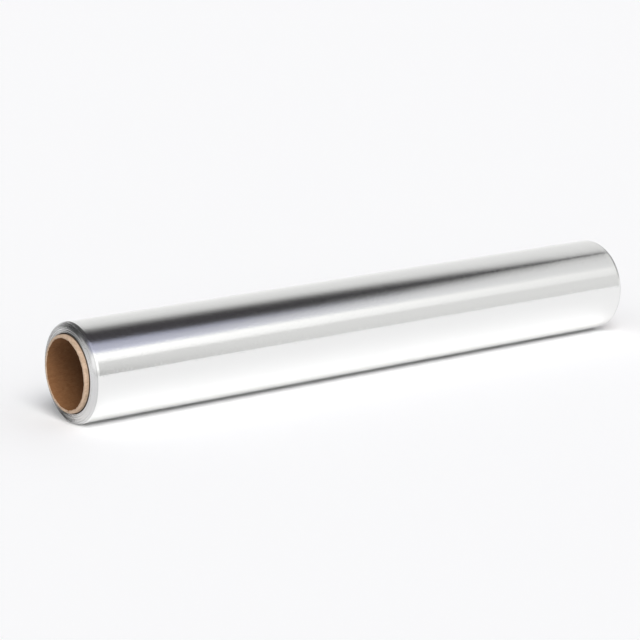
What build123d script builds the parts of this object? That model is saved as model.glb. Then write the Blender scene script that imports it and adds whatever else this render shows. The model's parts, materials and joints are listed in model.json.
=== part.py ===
from build123d import *
import math
import os

# Kitchen foil roll lying on its side, in millimetres: axis along X over the origin, resting on Z = 0

# Driving dimensions of the card core
core_bore = 30.8
core_wall = 1.5
core_proud = 2.2  # how far the core stands out of the foil at each end
core_edge = 0.25  # chamfer of the cut edges inside the bore
rim_radius = 0.9  # rounding of the cut edges outside, pressed soft
rim_flats = 3  # flats that make up that rounding

# Driving dimensions of the wound foil
foil_width = 300.0
foil_build = 5.2  # thickness of all the turns, out from the core
shoulder_radius = 2.2  # outer turns draw back in a round shoulder at each end
turn_pitch = 0.36  # spacing of the groups of turns that show on the end faces
turn_depth = 0.1  # how deep the grooves between those groups are
turn_unevenness = 0.5  # share by which the groove depths vary
gap_depth = 0.9  # innermost turns draw in beside the core
gap_width = 0.45
tail_step = 0.15  # height of the free edge of the last turn
tail_angle = -35.0  # free edge, behind and below: degrees up from +Y
flat_width = 6.0  # spot where the soft roll lies flat

# Sizes that follow from them
core_radius = core_bore / 2 + core_wall
foil_radius = core_radius + foil_build
half_width = foil_width / 2
core_length = foil_width + 2 * core_proud
axis_height = math.sqrt(foil_radius**2 - (flat_width / 2) ** 2)
shoulder_start = half_width - shoulder_radius
face_inner = core_radius + gap_width
face_height = foil_build - gap_width - shoulder_radius
face_run = face_height + shoulder_radius * math.pi / 2
turn_groups = round(face_run / turn_pitch)


def core_tube():
    # Straight tube with rims chamfered inside and pressed round outside in a few flats
    bore_radius = core_bore / 2
    rim_x = core_length / 2
    rim = [(rim_x - core_edge, bore_radius), (rim_x, bore_radius + core_edge)]
    for number in range(rim_flats + 1):
        turn = math.pi / 2 * number / rim_flats
        back = rim_radius * (1 - math.cos(turn))
        drop = rim_radius * (1 - math.sin(turn))
        rim.append((rim_x - back, core_radius - drop))
    other_rim = [(-x, radius) for x, radius in reversed(rim)]
    profile = make_face(Polyline(*rim, *other_rim, close=True))
    return revolve(Plane.XZ * profile, Axis.X)


def wound_section():
    # One turn of the spiral drawn as two tangent half circles, ending in the step of the tail
    tail_x = math.cos(math.radians(tail_angle))
    tail_y = math.sin(math.radians(tail_angle))
    inner_turn = foil_radius - tail_step / 2
    inner_centre = (-tail_step / 2 * tail_x, -tail_step / 2 * tail_y)
    foot = foil_radius - tail_step
    outer_half = CenterArc((0, 0), foil_radius, tail_angle + 180, 180)
    inner_half = CenterArc(inner_centre, inner_turn, tail_angle, 180)
    tail_edge = Line((foot * tail_x, foot * tail_y), (foil_radius * tail_x, foil_radius * tail_y))
    turns = make_face([outer_half, inner_half, tail_edge])
    below_flat = Rectangle(2 * foil_radius, foil_radius, align=(Align.CENTER, Align.MAX))
    return Plane.YZ * (turns - Pos(0, -axis_height) * below_flat - Circle(core_radius))


def face_point(run, depth):
    # Point (along the roll, out from the axis) at a depth in the end face, a run out from its inner edge
    if run <= face_height:
        return (half_width - depth, face_inner + run)
    turn = (run - face_height) / shoulder_radius
    reach = shoulder_radius - depth
    rise = foil_radius - shoulder_radius
    return (shoulder_start + reach * math.cos(turn), rise + reach * math.sin(turn))


def groove_depth(number, phase):
    # Depth of one groove, uneven in the way that the winding leaves it
    sway = 0.5 + 0.5 * math.sin(number**2 + phase)
    return turn_depth * (1 - turn_unevenness * sway)


def end_trim(phase):
    # Ring that trims the +X end: gap beside the core, grooves between the turns, round shoulder
    step = face_run / turn_groups
    outline = [
        (half_width - 2 * gap_depth, 0),
        (half_width - 2 * gap_depth, core_radius - gap_width),
        face_point(0, 0),
    ]
    for number in range(turn_groups):
        outline.append(face_point((number + 0.5) * step, groove_depth(number, phase)))
        if number < turn_groups - 1:
            outline.append(face_point((number + 1) * step, 0))
    outline += [
        (shoulder_start, foil_radius + turn_depth),
        (shoulder_start, foil_radius + shoulder_radius),
        (half_width + shoulder_radius, foil_radius + shoulder_radius),
        (half_width + shoulder_radius, 0),
    ]
    profile = make_face(Polyline(*outline, close=True))
    return revolve(Plane.XZ * profile, Axis.X)


def wound_foil():
    # All the turns as one solid, trimmed at both ends
    turns = extrude(wound_section(), half_width, both=True)
    far_end = end_trim(0)
    near_end = mirror(end_trim(1), about=Plane.YZ)
    return turns - far_end - near_end


os.makedirs("parts", exist_ok=True)
lift = Pos(0, 0, axis_height)
export_step(lift * core_tube(), "parts/core_tube.step")
export_step(lift * wound_foil(), "parts/wound_foil.step")
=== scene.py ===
import json
import math
import random

import bpy
import numpy as np
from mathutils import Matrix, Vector


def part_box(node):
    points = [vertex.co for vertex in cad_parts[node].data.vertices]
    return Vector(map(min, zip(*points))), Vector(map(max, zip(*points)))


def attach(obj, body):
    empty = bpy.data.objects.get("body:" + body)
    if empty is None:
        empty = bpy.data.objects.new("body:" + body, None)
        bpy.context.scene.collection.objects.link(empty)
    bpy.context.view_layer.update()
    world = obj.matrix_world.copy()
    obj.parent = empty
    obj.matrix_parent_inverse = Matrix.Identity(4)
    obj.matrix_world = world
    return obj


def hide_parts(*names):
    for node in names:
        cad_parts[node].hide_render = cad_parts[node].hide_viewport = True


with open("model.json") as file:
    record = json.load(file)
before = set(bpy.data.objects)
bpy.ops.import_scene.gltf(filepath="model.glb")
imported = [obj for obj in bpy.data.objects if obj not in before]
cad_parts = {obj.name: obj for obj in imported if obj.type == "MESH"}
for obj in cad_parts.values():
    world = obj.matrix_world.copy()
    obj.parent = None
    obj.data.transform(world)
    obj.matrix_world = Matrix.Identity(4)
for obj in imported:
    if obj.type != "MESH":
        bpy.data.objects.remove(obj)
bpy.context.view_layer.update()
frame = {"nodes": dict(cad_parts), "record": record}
print("frame loaded:", sorted(frame["nodes"]))


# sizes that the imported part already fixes
foilLow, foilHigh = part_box("wound_foil")
coreLow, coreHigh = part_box("core_tube")
boreMount = [mount for mount in frame["record"]["mounts"] if mount["name"] == "core_bore"][0]
roll = {
    "axisHeight": boreMount["pos_m"][2],
    "boreRadius": boreMount["dims"]["r_mm"] / 1000,
    "coreRadius": (coreHigh.y - coreLow.y) / 2,
    "coreHalf": (coreHigh.x - coreLow.x) / 2,
    "foilRadius": -foilLow.y,
    "foilHalf": (foilHigh.x - foilLow.x) / 2,
}
fullTurn = 2 * math.pi
quarterTurn = math.pi / 2


# small helpers for node trees
def addNode(tree, kind, **settings):
    node = tree.nodes.new(kind)
    for key, value in settings.items():
        setattr(node, key, value)
    return node


def setInput(node, **values):
    for key, value in values.items():
        node.inputs[key.replace("_", " ")].default_value = value
    return node


def newMaterial(name):
    material = bpy.data.materials.new(name)
    material.use_nodes = True
    return material, material.node_tree.nodes["Principled BSDF"]


def newGroup(name, values, masks):
    group = bpy.data.node_groups.new(name, "ShaderNodeTree")
    face = group.interface
    face.new_socket("Vector", in_out="INPUT", socket_type="NodeSocketVector")
    for label, start in values.items():
        face.new_socket(label, in_out="INPUT", socket_type="NodeSocketFloat").default_value = start
    for label in masks:
        face.new_socket(label, in_out="OUTPUT", socket_type="NodeSocketFloat")
    return group, addNode(group, "NodeGroupInput"), addNode(group, "NodeGroupOutput")


def placeGroup(tree, group, vector, **values):
    node = setInput(addNode(tree, "ShaderNodeGroup", node_tree=group), **values)
    tree.links.new(vector, node.inputs["Vector"])
    return node


def readWrap(tree):
    return addNode(tree, "ShaderNodeUVMap", uv_map="wrap").outputs["UV"]


def mixTones(tree, mask, dark, pale):
    tone = addNode(tree, "ShaderNodeMix", data_type="RGBA")
    tone.inputs["A"].default_value = dark
    tone.inputs["B"].default_value = pale
    tree.links.new(mask, tone.inputs["Factor"])
    return tone.outputs["Result"]


def addBump(tree, height, distance, below=None):
    bump = setInput(addNode(tree, "ShaderNodeBump"), Strength=1.0, Distance=distance)
    tree.links.new(height, bump.inputs["Height"])
    if below:
        tree.links.new(below, bump.inputs["Normal"])
    return bump.outputs["Normal"]


# stretched noise, shared by the foil's rolling lines, its turn edges and the card's fibres
def makeStretchedGrain():
    starts = {"Along": 1000.0, "Around": 1000.0, "Detail": 2.0, "Low": 0.0, "High": 1.0}
    group, source, sink = newGroup("stretchedGrain", starts, ["Mask"])
    link = group.links.new
    stretch = addNode(group, "ShaderNodeCombineXYZ")
    scaled = addNode(group, "ShaderNodeVectorMath", operation="MULTIPLY")
    noise = setInput(addNode(group, "ShaderNodeTexNoise"), Scale=1.0, Roughness=0.55)
    spread = setInput(addNode(group, "ShaderNodeMapRange"), From_Min=0.3, From_Max=0.7)
    link(source.outputs["Along"], stretch.inputs["X"])
    link(source.outputs["Around"], stretch.inputs["Y"])
    link(source.outputs["Vector"], scaled.inputs[0])
    link(stretch.outputs["Vector"], scaled.inputs[1])
    link(scaled.outputs["Vector"], noise.inputs["Vector"])
    link(source.outputs["Detail"], noise.inputs["Detail"])
    link(noise.outputs["Fac"], spread.inputs["Value"])
    link(source.outputs["Low"], spread.inputs["To Min"])
    link(source.outputs["High"], spread.inputs["To Max"])
    link(spread.outputs["Result"], sink.inputs["Mask"])
    return group


stretchedGrain = makeStretchedGrain()


# fine fibres over soft clouds, shared by the card's cut rims, its bore and the painted shade line beside
# the foil
def makeCardGrain():
    starts = {"Fibre Share": 0.5, "Cloud Share": 0.5}
    group, source, sink = newGroup("cardGrain", starts, ["Tone", "Fibres"])
    link = group.links.new
    wrap = source.outputs["Vector"]
    fibres = placeGroup(group, stretchedGrain, wrap, Along=700.0, Around=2200.0, Detail=5.0)
    clouds = placeGroup(group, stretchedGrain, wrap, Along=380.0, Around=460.0, Detail=3.0)
    cloudPart = addNode(group, "ShaderNodeMath", operation="MULTIPLY")
    blend = addNode(group, "ShaderNodeMath", operation="MULTIPLY_ADD")
    link(clouds.outputs["Mask"], cloudPart.inputs[0])
    link(source.outputs["Cloud Share"], cloudPart.inputs[1])
    link(fibres.outputs["Mask"], blend.inputs[0])
    link(source.outputs["Fibre Share"], blend.inputs[1])
    link(cloudPart.outputs["Value"], blend.inputs[2])
    link(blend.outputs["Value"], sink.inputs["Tone"])
    link(fibres.outputs["Mask"], sink.inputs["Fibres"])
    return group


cardGrain = makeCardGrain()
print("grain groups built")


# metric wrap of a turned surface: along its profile, round the axis
def wrapTurned(mesh, profile, angles):
    steps = np.linalg.norm(np.diff(np.vstack([profile, profile[:1]]), axis=0), axis=1)
    runs = np.concatenate([[0.0], np.cumsum(steps)])
    turns = np.array(list(angles) + [angles[0] + fullTurn]) * profile[:, 1].max()
    wrap = np.zeros((len(angles), len(profile), 4, 2))
    wrap[:, :, :2, 0] = runs[:-1, None]
    wrap[:, :, 2:, 0] = runs[1:, None]
    wrap[:, :, [0, 3], 1] = turns[:-1, None, None]
    wrap[:, :, [1, 2], 1] = turns[1:, None, None]
    layer = mesh.uv_layers.new(name="wrap")
    layer.data.foreach_set("uv", wrap.reshape(-1))


# creases along some points of the profile, and on both sides of a seam where the turns end
def creaseTurned(mesh, count, rings, ridges, seam):
    ends = np.zeros(len(mesh.edges) * 2, dtype=int)
    mesh.edges.foreach_get("vertices", ends)
    ring, spot = np.divmod(ends.reshape(-1, 2), count)
    crease = (spot[:, 0] == spot[:, 1]) & np.isin(spot[:, 0], ridges)
    if seam:
        crease |= (ring[:, 0] == ring[:, 1]) & np.isin(ring[:, 0], (0, rings - 1))
    mesh.attributes.new("sharp_edge", "BOOLEAN", "EDGE").data.foreach_set("value", crease)


# a closed profile turned round the roll's axis
def turnProfile(name, profile, angles, place, ridges=(), seam=False):
    count, rings = len(profile), len(angles)
    points = np.array([place(profile, angle) for angle in angles])
    faces = []
    for j in range(rings):
        k = (j + 1) % rings
        for i in range(count):
            n = (i + 1) % count
            faces.append((j * count + i, k * count + i, k * count + n, j * count + n))
    mesh = bpy.data.meshes.new(name)
    mesh.from_pydata(points.reshape(-1, 3).tolist(), [], faces)
    wrapTurned(mesh, profile, angles)
    mesh.polygons.foreach_set("use_smooth", [True] * len(faces))
    mesh.update()
    creaseTurned(mesh, count, rings, ridges, seam)
    piece = bpy.data.objects.new(name, mesh)
    bpy.context.scene.collection.objects.link(piece)
    return piece


# points between two ends on one radius, the ends left out
def straightRun(start, stop, radius, steps):
    return [(start + (stop - start) * k / steps, radius) for k in range(1, steps)]


# a wave about zero as a share between 0 and 1
def waveShare(wave, spread=0.5):
    return 0.5 + spread * wave


# wound foil: all the turns, with their edges on both ends and the free tail behind
foil = {
    "shoulder": 0.0022,
    "gapDepth": 0.0009,
    "gapWidth": 0.00045,
    "tailStep": 0.00015,
    "tailAngleDeg": -35.0,
    "tailGap": 0.0001,  # radians that the last turn ends short of the tail's edge
    "turnGroups": 40,
    "turnDepth": 0.0001,
    "crestDrop": (0.0, 0.3),  # shares of that depth
    "grooveDrop": (0.6, 1.0),
    "crestPlace": 0.12,  # share of a group's width, so that it leans outward
    "turnFade": 1.6,  # the outermost turns lie smooth, sooner with a lower number
    "roundPoints": 8,  # points of the shoulder that have no crease
    "turnSway": 0.00003,
    "swayStart": 0.5,  # share of the gap's width, out from the core
    "swayWaves": ((1, 9000, 1.0), (3, 21000, 0.5)),  # times round, shift outward, share
    "swaySpread": 0.33,
    "ripple": 0.000025,
    "rippleLength": 0.045,
    "rippleDrift": 2.0,
    "rippleLobes": 3,
    "ripplePhase": 1.0,
    "bodySteps": 90,
    "ringSteps": 240,
    "seed": 5,
    "colour": (0.885, 0.887, 0.875, 1.0),  # bright rolled face
    "roughness": (0.115, 0.15),
    "anisotropy": 0.8,
    "lineBump": 0.0000003,
    "speckleBump": 0.0000085,
    "edgeStart": 0.55,  # share of the shoulder, where the cut edges begin
    # edge tones: partly the cut edges' own duller finish, partly painted shade in the grooves between
    # turns
    "edgePale": (0.81, 0.81, 0.805, 1.0),
    "edgeDark": (0.56, 0.56, 0.56, 1.0),
    "edgeRoughness": (0.17, 0.25),
    "edgeBump": 0.000003,
}


def endProfile(draw):
    half, radius, shoulder = roll["foilHalf"], roll["foilRadius"], foil["shoulder"]
    groups, depth = foil["turnGroups"], foil["turnDepth"]
    inner = roll["coreRadius"] + foil["gapWidth"]
    flat = radius - shoulder - inner
    step = (flat + shoulder * quarterTurn) / groups
    points = [(half - foil["gapDepth"], roll["coreRadius"])]
    for number in range(groups):
        fade = min(1.0, foil["turnFade"] * (1 - number / groups))
        crest = draw.uniform(*foil["crestDrop"]) * depth * fade
        groove = draw.uniform(*foil["grooveDrop"]) * depth * fade
        for share, drop in ((foil["crestPlace"], crest), (1.0, groove)):
            at = (number + share) * step
            if at <= flat:
                points.append((half - drop, inner + at))
            else:
                turn = (at - flat) / shoulder
                reach = shoulder - drop
                x = half - shoulder + reach * math.cos(turn)
                points.append((x, radius - shoulder + reach * math.sin(turn)))
    points[-1] = (half - shoulder, radius)
    return points


def foilProfile():
    draw = random.Random(foil["seed"])
    near = [(-x, r) for x, r in endProfile(draw)]
    far = endProfile(draw)
    body = straightRun(near[-1][0], far[-1][0], roll["foilRadius"], foil["bodySteps"])
    profile = np.array(near + body + far[::-1])
    ridges = list(range(len(near) - foil["roundPoints"]))
    return profile, ridges + [len(profile) - 1 - k for k in ridges]


def placeFoil(profile, angle):
    x, r = profile[:, 0].copy(), profile[:, 1].copy()
    turned = (angle - math.radians(foil["tailAngleDeg"])) / fullTurn  # 0 past the tail, 1 under its edge
    outer = np.clip((r - roll["foilRadius"] + foil["shoulder"]) / foil["shoulder"], 0, 1)
    r -= foil["tailStep"] * (1 - turned) * outer
    wave = np.sin(x / foil["rippleLength"] * fullTurn + foil["rippleDrift"] * math.sin(angle))
    lobe = math.sin(foil["rippleLobes"] * angle + foil["ripplePhase"])
    r -= foil["ripple"] * waveShare(wave * lobe) * outer
    onEnd = np.abs(x) > roll["foilHalf"] - foil["shoulder"]
    face = np.clip((r - roll["coreRadius"]) / foil["gapWidth"] - foil["swayStart"], 0, 1) * onEnd
    sway = sum(share * np.sin(times * angle + r * shift) for times, shift, share in foil["swayWaves"])
    x -= np.sign(x) * foil["turnSway"] * waveShare(sway, foil["swaySpread"]) * face
    y = r * math.cos(angle)
    z = np.maximum(roll["axisHeight"] + r * math.sin(angle), 0.0)  # flat spot where it lies
    return np.stack([x, y, z], 1)


def makeFoil():
    tail = math.radians(foil["tailAngleDeg"])
    rings = foil["ringSteps"]
    angles = [tail + fullTurn * k / (rings - 1) for k in range(rings)]
    angles[-1] -= foil["tailGap"]
    profile, ridges = foilProfile()
    return turnProfile("foilTurns", profile, angles, placeFoil, ridges, seam=True)


# bright rolled face of the foil
def makeFoilMaterial():
    material, shader = newMaterial("rolledFoil")
    tree = material.node_tree
    link = tree.links.new
    wrap = readWrap(tree)
    smooth, rough = foil["roughness"]
    lines = placeGroup(tree, stretchedGrain, wrap, Along=2600.0, Around=45.0, Detail=3.0)
    speckle = placeGroup(tree, stretchedGrain, wrap, Along=950.0, Around=1050.0, Detail=0.0, Low=-2.0)
    gloss = placeGroup(tree, stretchedGrain, wrap, Along=900.0, Around=60.0, Low=smooth, High=rough)
    peaks = addNode(tree, "ShaderNodeMath", operation="MAXIMUM")  # only the speckle's peaks stand out
    peaks.inputs[1].default_value = 0.0
    link(speckle.outputs["Mask"], peaks.inputs[0])
    lineNormal = addBump(tree, lines.outputs["Mask"], foil["lineBump"])
    speckleNormal = addBump(tree, peaks.outputs["Value"], foil["speckleBump"], lineNormal)
    tangent = addNode(tree, "ShaderNodeTangent", direction_type="UV_MAP", uv_map="wrap")
    link(gloss.outputs["Mask"], shader.inputs["Roughness"])
    link(speckleNormal, shader.inputs["Normal"])
    link(tangent.outputs["Tangent"], shader.inputs["Tangent"])
    setInput(shader, Base_Color=foil["colour"], Metallic=1.0, Anisotropic=foil["anisotropy"])
    return material


# cut edges of the turns, duller than the face; their darker base and dark rings are partly their own
# finish and partly painted shade in the grooves between the turns
def makeEdgeMaterial():
    material, shader = newMaterial("turnEdges")
    tree = material.node_tree
    link = tree.links.new
    wrap = readWrap(tree)
    smooth, rough = foil["edgeRoughness"]
    rings = placeGroup(tree, stretchedGrain, wrap, Along=2600.0, Around=14.0, Detail=3.0)
    gloss = placeGroup(tree, stretchedGrain, wrap, Along=3000.0, Around=30.0, Low=smooth, High=rough)
    tone = mixTones(tree, rings.outputs["Mask"], foil["edgeDark"], foil["edgePale"])
    link(tone, shader.inputs["Base Color"])
    link(gloss.outputs["Mask"], shader.inputs["Roughness"])
    link(addBump(tree, rings.outputs["Mask"], foil["edgeBump"]), shader.inputs["Normal"])
    setInput(shader, Metallic=1.0)
    return material


foilTurns = makeFoil()
foilTurns.data.materials.append(makeFoilMaterial())
foilTurns.data.materials.append(makeEdgeMaterial())
edgeReach = roll["foilHalf"] - foil["shoulder"] * foil["edgeStart"]
for polygon in foilTurns.data.polygons:
    polygon.material_index = 1 if abs(polygon.center.x) > edgeReach else 0
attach(foilTurns, "root")
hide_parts("wound_foil")
print("foil wound:", len(foilTurns.data.polygons), "faces")


# card core: bore, two cut rims and the outside under the foil
core = {
    "boreEdge": 0.00025,
    "edgeRound": 0.3,  # share of that edge taken off at its middle
    "rimRadius": 0.0009,
    "rimSteps": 8,
    "plies": 3,
    "plyDepth": 0.00004,
    "plyDrop": (0.3, 1.0),  # shares of that depth
    "rimFray": 0.00004,
    "frayReach": 0.9,  # share of the rim's radius
    "frayWaves": ((17, 5000, 0.0), (29, 0, 1.3), (53, 9000, 0.0)),  # times round, shift outward, phase
    "frayFine": 0.6,  # share of the last wave
    "fraySpread": 0.3,
    "edgeTear": 0.00028,
    "tearReach": 1.1,  # share of the bore's edge
    "tearWaves": ((9, 1.0), (23, 0.0), (41, 2.0)),  # times round, phase
    "tearFine": 0.5,
    "paintedShadeRise": 0.00032,  # painted shade: a dark line where the card goes in beside the foil, standing for the shadow in the gap
    "paintedShadeDepth": 0.0012,
    "boreSteps": 60,
    "ringSteps": 200,
    "seed": 11,
    "tones": {  # dark and pale
        "cutCard": ((0.36, 0.255, 0.175, 1.0), (0.62, 0.465, 0.345, 1.0)),
        "boreCard": ((0.178, 0.076, 0.029, 1.0), (0.262, 0.132, 0.06, 1.0)),
        # painted shade tones for the band beside the foil, standing for the gap's shadow
        "paintedRootShade": ((0.05, 0.034, 0.024, 1.0), (0.11, 0.075, 0.052, 1.0)),
    },
    "fibreShare": 0.55,
    "cloudShare": 0.45,
    "fibreBump": 0.00004,
    "roughness": 0.85,
    "specular": 0.25,
}


def rimProfile(draw):
    half, bore, outside = roll["coreHalf"], roll["boreRadius"], roll["coreRadius"]
    edge, rim, plies = core["boreEdge"], core["rimRadius"], core["plies"]
    inset = edge * core["edgeRound"]
    points = [(half - edge, bore), (half - inset, bore + inset), (half, bore + edge)]
    width = outside - rim - bore - edge
    for ply in range(1, plies):
        drop = draw.uniform(*core["plyDrop"]) * core["plyDepth"]
        points.append((half - drop, bore + edge + width * ply / plies))
    for k in range(core["rimSteps"] + 1):  # pressed round outside
        turn = quarterTurn * k / core["rimSteps"]
        points.append((half - rim + rim * math.cos(turn), outside - rim + rim * math.sin(turn)))
    # edges of the painted shade band on the outside, beside the foil
    points.append((roll["foilHalf"] + core["paintedShadeRise"], outside))
    points.append((roll["foilHalf"] - core["paintedShadeDepth"], outside))
    return points


def coreProfile():
    draw = random.Random(core["seed"])
    far = rimProfile(draw)
    near = [(-x, r) for x, r in rimProfile(draw)]
    bore = straightRun(near[0][0], far[0][0], roll["boreRadius"], core["boreSteps"])
    return np.array(bore + far + near[::-1])


def placeCore(profile, angle):
    x, r = profile[:, 0].copy(), profile[:, 1].copy()
    rim = np.abs(x) > roll["coreHalf"] - core["rimRadius"] * core["frayReach"]
    lip = rim & (r < roll["boreRadius"] + core["boreEdge"] * core["tearReach"])
    slow, quick, fine = [math.sin(times * angle + phase) for times, phase in core["tearWaves"]]
    tear = slow * quick + core["tearFine"] * fine
    r += core["edgeTear"] * max(0.0, tear) * lip  # cut edge torn here and there
    slow, quick, fine = [
        np.sin(times * angle + r * shift + phase) for times, shift, phase in core["frayWaves"]
    ]
    fray = slow * quick + core["frayFine"] * fine
    x -= np.sign(x) * core["rimFray"] * waveShare(fray, core["fraySpread"]) * rim
    y = r * math.cos(angle)
    z = roll["axisHeight"] + r * math.sin(angle)
    return np.stack([x, y, z], 1)


def makeCore():
    rings = core["ringSteps"]
    angles = [fullTurn * k / rings for k in range(rings)]
    return turnProfile("cardCore", coreProfile(), angles, placeCore)


def makeCardMaterial(name):
    material, shader = newMaterial(name)
    tree = material.node_tree
    link = tree.links.new
    dark, pale = core["tones"][name]
    grain = placeGroup(tree, cardGrain, readWrap(tree),
                       Fibre_Share=core["fibreShare"], Cloud_Share=core["cloudShare"])
    link(mixTones(tree, grain.outputs["Tone"], dark, pale), shader.inputs["Base Color"])
    link(addBump(tree, grain.outputs["Fibres"], core["fibreBump"]), shader.inputs["Normal"])
    setInput(shader, Roughness=core["roughness"], Specular_IOR_Level=core["specular"])
    return material


cardCore = makeCore()
cardKinds = list(core["tones"])
for name in cardKinds:
    cardCore.data.materials.append(makeCardMaterial(name))
rimStart = roll["coreHalf"] - core["boreEdge"]
paintedShadeLow = roll["foilHalf"] - core["paintedShadeDepth"]
paintedShadeHigh = roll["foilHalf"] + core["paintedShadeRise"]
middleRadius = (roll["boreRadius"] + roll["coreRadius"]) / 2
for polygon in cardCore.data.polygons:
    along = abs(polygon.center.x)
    outside = math.hypot(polygon.center.y, polygon.center.z - roll["axisHeight"]) > middleRadius
    # the outside just beside the foil takes the painted shade tones, the bore its own card tones
    if outside and paintedShadeLow < along < paintedShadeHigh:
        polygon.material_index = cardKinds.index("paintedRootShade")
    elif not outside and along < rimStart:
        polygon.material_index = cardKinds.index("boreCard")
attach(cardCore, "root")
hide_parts("core_tube")
print("core turned:", len(cardCore.data.polygons), "faces")


# pale floor
floorLook = {"size": 60.0, "colour": (0.975, 0.978, 0.985, 1.0)}


def makeFloor():
    reach = floorLook["size"] / 2
    corners = [(-reach, -reach, 0), (reach, -reach, 0), (reach, reach, 0), (-reach, reach, 0)]
    mesh = bpy.data.meshes.new("floor")
    mesh.from_pydata(corners, [], [(0, 1, 2, 3)])
    floor = bpy.data.objects.new("floor", mesh)
    bpy.context.scene.collection.objects.link(floor)
    material, shader = newMaterial("paleFloor")
    setInput(shader, Base_Color=floorLook["colour"], Roughness=1.0, Specular_IOR_Level=0.0)
    mesh.materials.append(material)


makeFloor()
print("floor laid")


# white tent round the roll: walls, a long softbox in front, a dark gap in the roof,
# a dark corner behind and an open side at the right
studio = {
    "wallFoot": [(0, 0.78)],  # degrees up from the front, brightness
    "softboxFoot": [(0, 0.755), (27, 0.765), (33, 1.14)],
    "nearFoot": [(0, 0.755), (8, 0.8), (14, 1.16)],  # lower edge of the softbox at its left end
    "softboxTop": [(46, 1.31), (54, 0.88), (62, 0.78)],
    "backBands": [(120, 0.78), (150, 0.84), (180, 0.95)],
    "nearTaper": (0.36, 0.44),
    "softboxTaper": (0.5, 0.69),
    "softboxFade": 0.8,
    "gapMiddleDeg": 97.0,
    "gapBands": [  # degrees from its middle, share of light left; bluish on its front slope
        (-60, 1.0), (-49, 0.95), (-43, (0.71, 0.725, 0.9)), (-38, (0.56, 0.575, 0.735)),
        (-33, (0.6, 0.615, 0.78)), (-27, (0.55, 0.565, 0.72)), (-23, (0.41, 0.42, 0.535)),
        (-19, (0.19, 0.194, 0.245)), (-15, (0.08, 0.076, 0.087)), (0, (0.06, 0.056, 0.063)),
        (8, (0.083, 0.079, 0.086)), (17, 0.3), (27, 0.76), (40, 0.95), (60, 1.0),
    ],
    "gapFarBands": [  # steeper and plain towards the right
        (-60, 1.0), (-44, 0.95), (-38, 0.9), (-34, 0.78), (-30, 0.53), (-26, 0.29), (-22, 0.15),
        (-18, 0.075), (-14, 0.055), (0, (0.052, 0.048, 0.055)), (4, 0.07), (8, 0.12), (12, 0.26),
        (16, 0.48), (20, 0.69), (25, 0.86), (32, 0.94), (60, 1.0),
    ],
    "tintTaper": (0.515, 0.585),  # where the one gives way to the other
    "gapTaper": (0.6, 0.68),  # where it narrows, and closes
    "gapEnd": 0.045,  # share of its width left there
    "cornerRight": (0.36, 0.44),  # where the dark corner behind, at the left, fades out on each side
    "cornerFront": (0.22, 0.45),
    "cornerFoot": (0.095, 0.15),
    "cornerLevel": 0.11,
    "sideLeft": (0.77, 0.87),  # open side at the far right, darker
    "sideLevel": 0.5,
    "frontRight": (0.49, 0.515),  # where the duller foot of the front wall, at the left, fades out
    "frontTopDeg": 35.0,
    "frontLevel": 0.45,
    "horizonLevels": (0.97, 0.74),  # behind and at the sides, in front
    "horizonTurn": (0.3, 0.65),
    "horizonRise": (0.09, 0.15),
    "sunAim": (-0.26, -0.6, 0.73),
    "sunAngleDeg": 34.0,
    "sunPower": 2.17,
    "sunColour": (1.0, 0.99, 0.965),
}


def spreadValue(tree, value, span, low=0.0, high=1.0):
    node = addNode(tree, "ShaderNodeMapRange")
    setInput(node, From_Min=span[0], From_Max=span[1], To_Min=low, To_Max=high)
    tree.links.new(value, node.inputs["Value"])
    return node.outputs["Result"]


# full light where the mask is 0, down to a level where it is 1
def dimBy(tree, mask, level):
    return spreadValue(tree, mask, (0.0, 1.0), 1.0, level)


def mathValue(tree, operation, first, second=None):
    node = addNode(tree, "ShaderNodeMath", operation=operation)
    tree.links.new(first, node.inputs[0])
    if isinstance(second, float):
        node.inputs[1].default_value = second
    elif second:
        tree.links.new(second, node.inputs[1])
    return node.outputs["Value"]


def multiplyValues(tree, first, *others):
    for other in others:
        first = mathValue(tree, "MULTIPLY", first, other)
    return first


def mixColours(tree, factor, first, second, blend="MIX"):
    node = addNode(tree, "ShaderNodeMix", data_type="RGBA", blend_type=blend)
    if isinstance(factor, float):
        node.inputs["Factor"].default_value = factor
    else:
        tree.links.new(factor, node.inputs["Factor"])
    tree.links.new(first, node.inputs["A"])
    tree.links.new(second, node.inputs["B"])
    return node.outputs["Result"]


# brightness or colour by degrees, for a value from 0 at the first band to 1 at the last
def bandRamp(tree, value, bands):
    low, high = bands[0][0], bands[-1][0]
    node = addNode(tree, "ShaderNodeValToRGB")
    stops = node.color_ramp.elements
    while len(stops) < len(bands):
        stops.new(0.5)
    for stop, (degrees, level) in zip(stops, bands):
        colour = level if isinstance(level, tuple) else (level,) * 3
        stop.position = (degrees - low) / (high - low)
        stop.color = (*colour, 1.0)
    tree.links.new(value, node.inputs["Fac"])
    return node.outputs["Color"]


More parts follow.
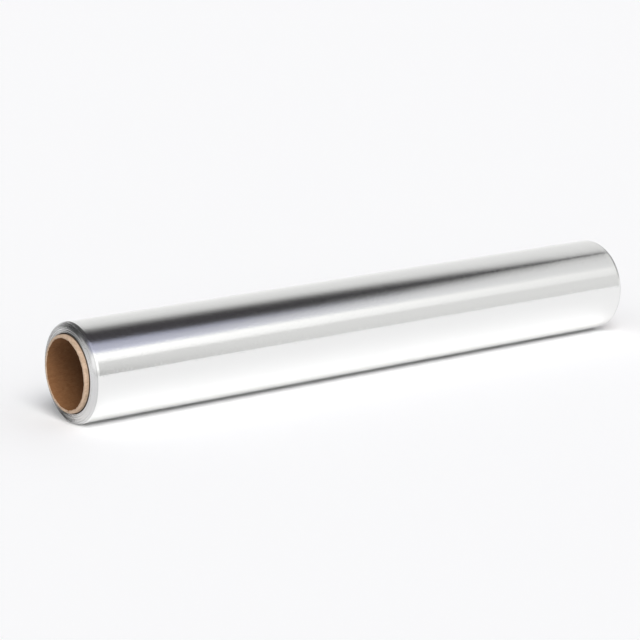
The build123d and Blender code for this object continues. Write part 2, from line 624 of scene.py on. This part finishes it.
def makeWorld():
    world = bpy.data.worlds.new("whiteTent")
    bpy.context.scene.world = world
    world.use_nodes = True
    tree = world.node_tree
    tree.nodes.clear()
    link = tree.links.new
    where = addNode(tree, "ShaderNodeTexCoord")
    split = addNode(tree, "ShaderNodeSeparateXYZ")
    link(where.outputs["Generated"], split.inputs["Vector"])
    along, back = split.outputs["X"], split.outputs["Y"]
    front = mathValue(tree, "MULTIPLY", back, -1.0)
    height = mathValue(tree, "ABSOLUTE", split.outputs["Z"])
    sideways = mathValue(tree, "ABSOLUTE", along)
    rise = mathValue(tree, "ARCTAN2", height, front)
    # walls and softbox, by the angle up from the front
    share = spreadValue(tree, rise, (0.0, math.pi))
    upper = studio["softboxTop"] + studio["backBands"]
    walls = bandRamp(tree, share, studio["wallFoot"] + studio["backBands"])
    softbox = bandRamp(tree, share, studio["softboxFoot"] + upper)
    near = bandRamp(tree, share, studio["nearFoot"] + upper)
    fade = spreadValue(tree, along, studio["softboxTaper"], 0.0, studio["softboxFade"])
    pastNear = spreadValue(tree, along, studio["nearTaper"])
    lit = mixColours(tree, pastNear, near, mixColours(tree, fade, softbox, walls))
    # dark gap in the roof, narrower to the sides
    reach = math.radians(studio["gapBands"][-1][0])
    taper = spreadValue(tree, sideways, studio["gapTaper"], 1.0, studio["gapEnd"])
    offset = mathValue(tree, "SUBTRACT", rise, math.radians(studio["gapMiddleDeg"]))
    narrowed = mathValue(tree, "DIVIDE", offset, taper)
    across = spreadValue(tree, narrowed, (-reach, reach))
    nearGap = bandRamp(tree, across, studio["gapBands"])
    farGap = bandRamp(tree, across, studio["gapFarBands"])
    gap = mixColours(tree, spreadValue(tree, sideways, studio["tintTaper"]), nearGap, farGap)
    roof = mixColours(tree, 1.0, lit, gap, "MULTIPLY")
    # dark corner, open side and the duller foot of the front wall
    leftward = spreadValue(tree, along, studio["cornerRight"], 1.0, 0.0)
    behind = spreadValue(tree, back, studio["cornerFront"])
    raised = spreadValue(tree, height, studio["cornerFoot"])
    corner = dimBy(tree, multiplyValues(tree, leftward, behind, raised), studio["cornerLevel"])
    rightward = spreadValue(tree, along, studio["sideLeft"])
    side = dimBy(tree, multiplyValues(tree, rightward, raised), studio["sideLevel"])
    beside = spreadValue(tree, along, studio["frontRight"], 1.0, 0.0)
    foot = spreadValue(tree, rise, (0.0, math.radians(studio["frontTopDeg"])), 1.0, 0.0)
    frontWall = dimBy(tree, multiplyValues(tree, beside, foot, pastNear), studio["frontLevel"])
    # plain and pale down at the horizon
    plain = spreadValue(tree, front, studio["horizonTurn"], *studio["horizonLevels"])
    raisedRoof = spreadValue(tree, height, studio["horizonRise"])
    tent = addNode(tree, "ShaderNodeBackground")
    link(mixColours(tree, raisedRoof, plain, roof), tent.inputs["Color"])
    link(multiplyValues(tree, corner, side, frontWall), tent.inputs["Strength"])
    out = addNode(tree, "ShaderNodeOutputWorld")
    link(tent.outputs["Background"], out.inputs["Surface"])


def makeLamp():
    light = bpy.data.lights.new("softKey", "SUN")
    light.energy = studio["sunPower"]
    light.color = studio["sunColour"]
    light.angle = math.radians(studio["sunAngleDeg"])
    lamp = bpy.data.objects.new("softKey", light)
    lamp.rotation_euler = Vector(studio["sunAim"]).to_track_quat("Z", "Y").to_euler()
    lamp.visible_glossy = False
    bpy.context.scene.collection.objects.link(lamp)


makeWorld()
makeLamp()
print("studio lit")


# camera where the photograph was taken from
cameraView = {
    "place": (-0.6178, -0.8086, 0.2623),
    "panDeg": 36.553,
    "tiltDeg": 13.170,
    "lensMm": 127.94,
    "sensorMm": 36.0,
}


def makeCamera():
    data = bpy.data.cameras.new("photoView")
    data.lens = cameraView["lensMm"]
    data.sensor_width = cameraView["sensorMm"]
    camera = bpy.data.objects.new("photoView", data)
    camera.location = cameraView["place"]
    camera.rotation_euler = (
        math.radians(90 - cameraView["tiltDeg"]),
        0,
        -math.radians(cameraView["panDeg"]),
    )
    bpy.context.scene.collection.objects.link(camera)
    bpy.context.scene.camera = camera


makeCamera()
bpy.context.scene.view_settings.view_transform = "Standard"
print("camera placed")
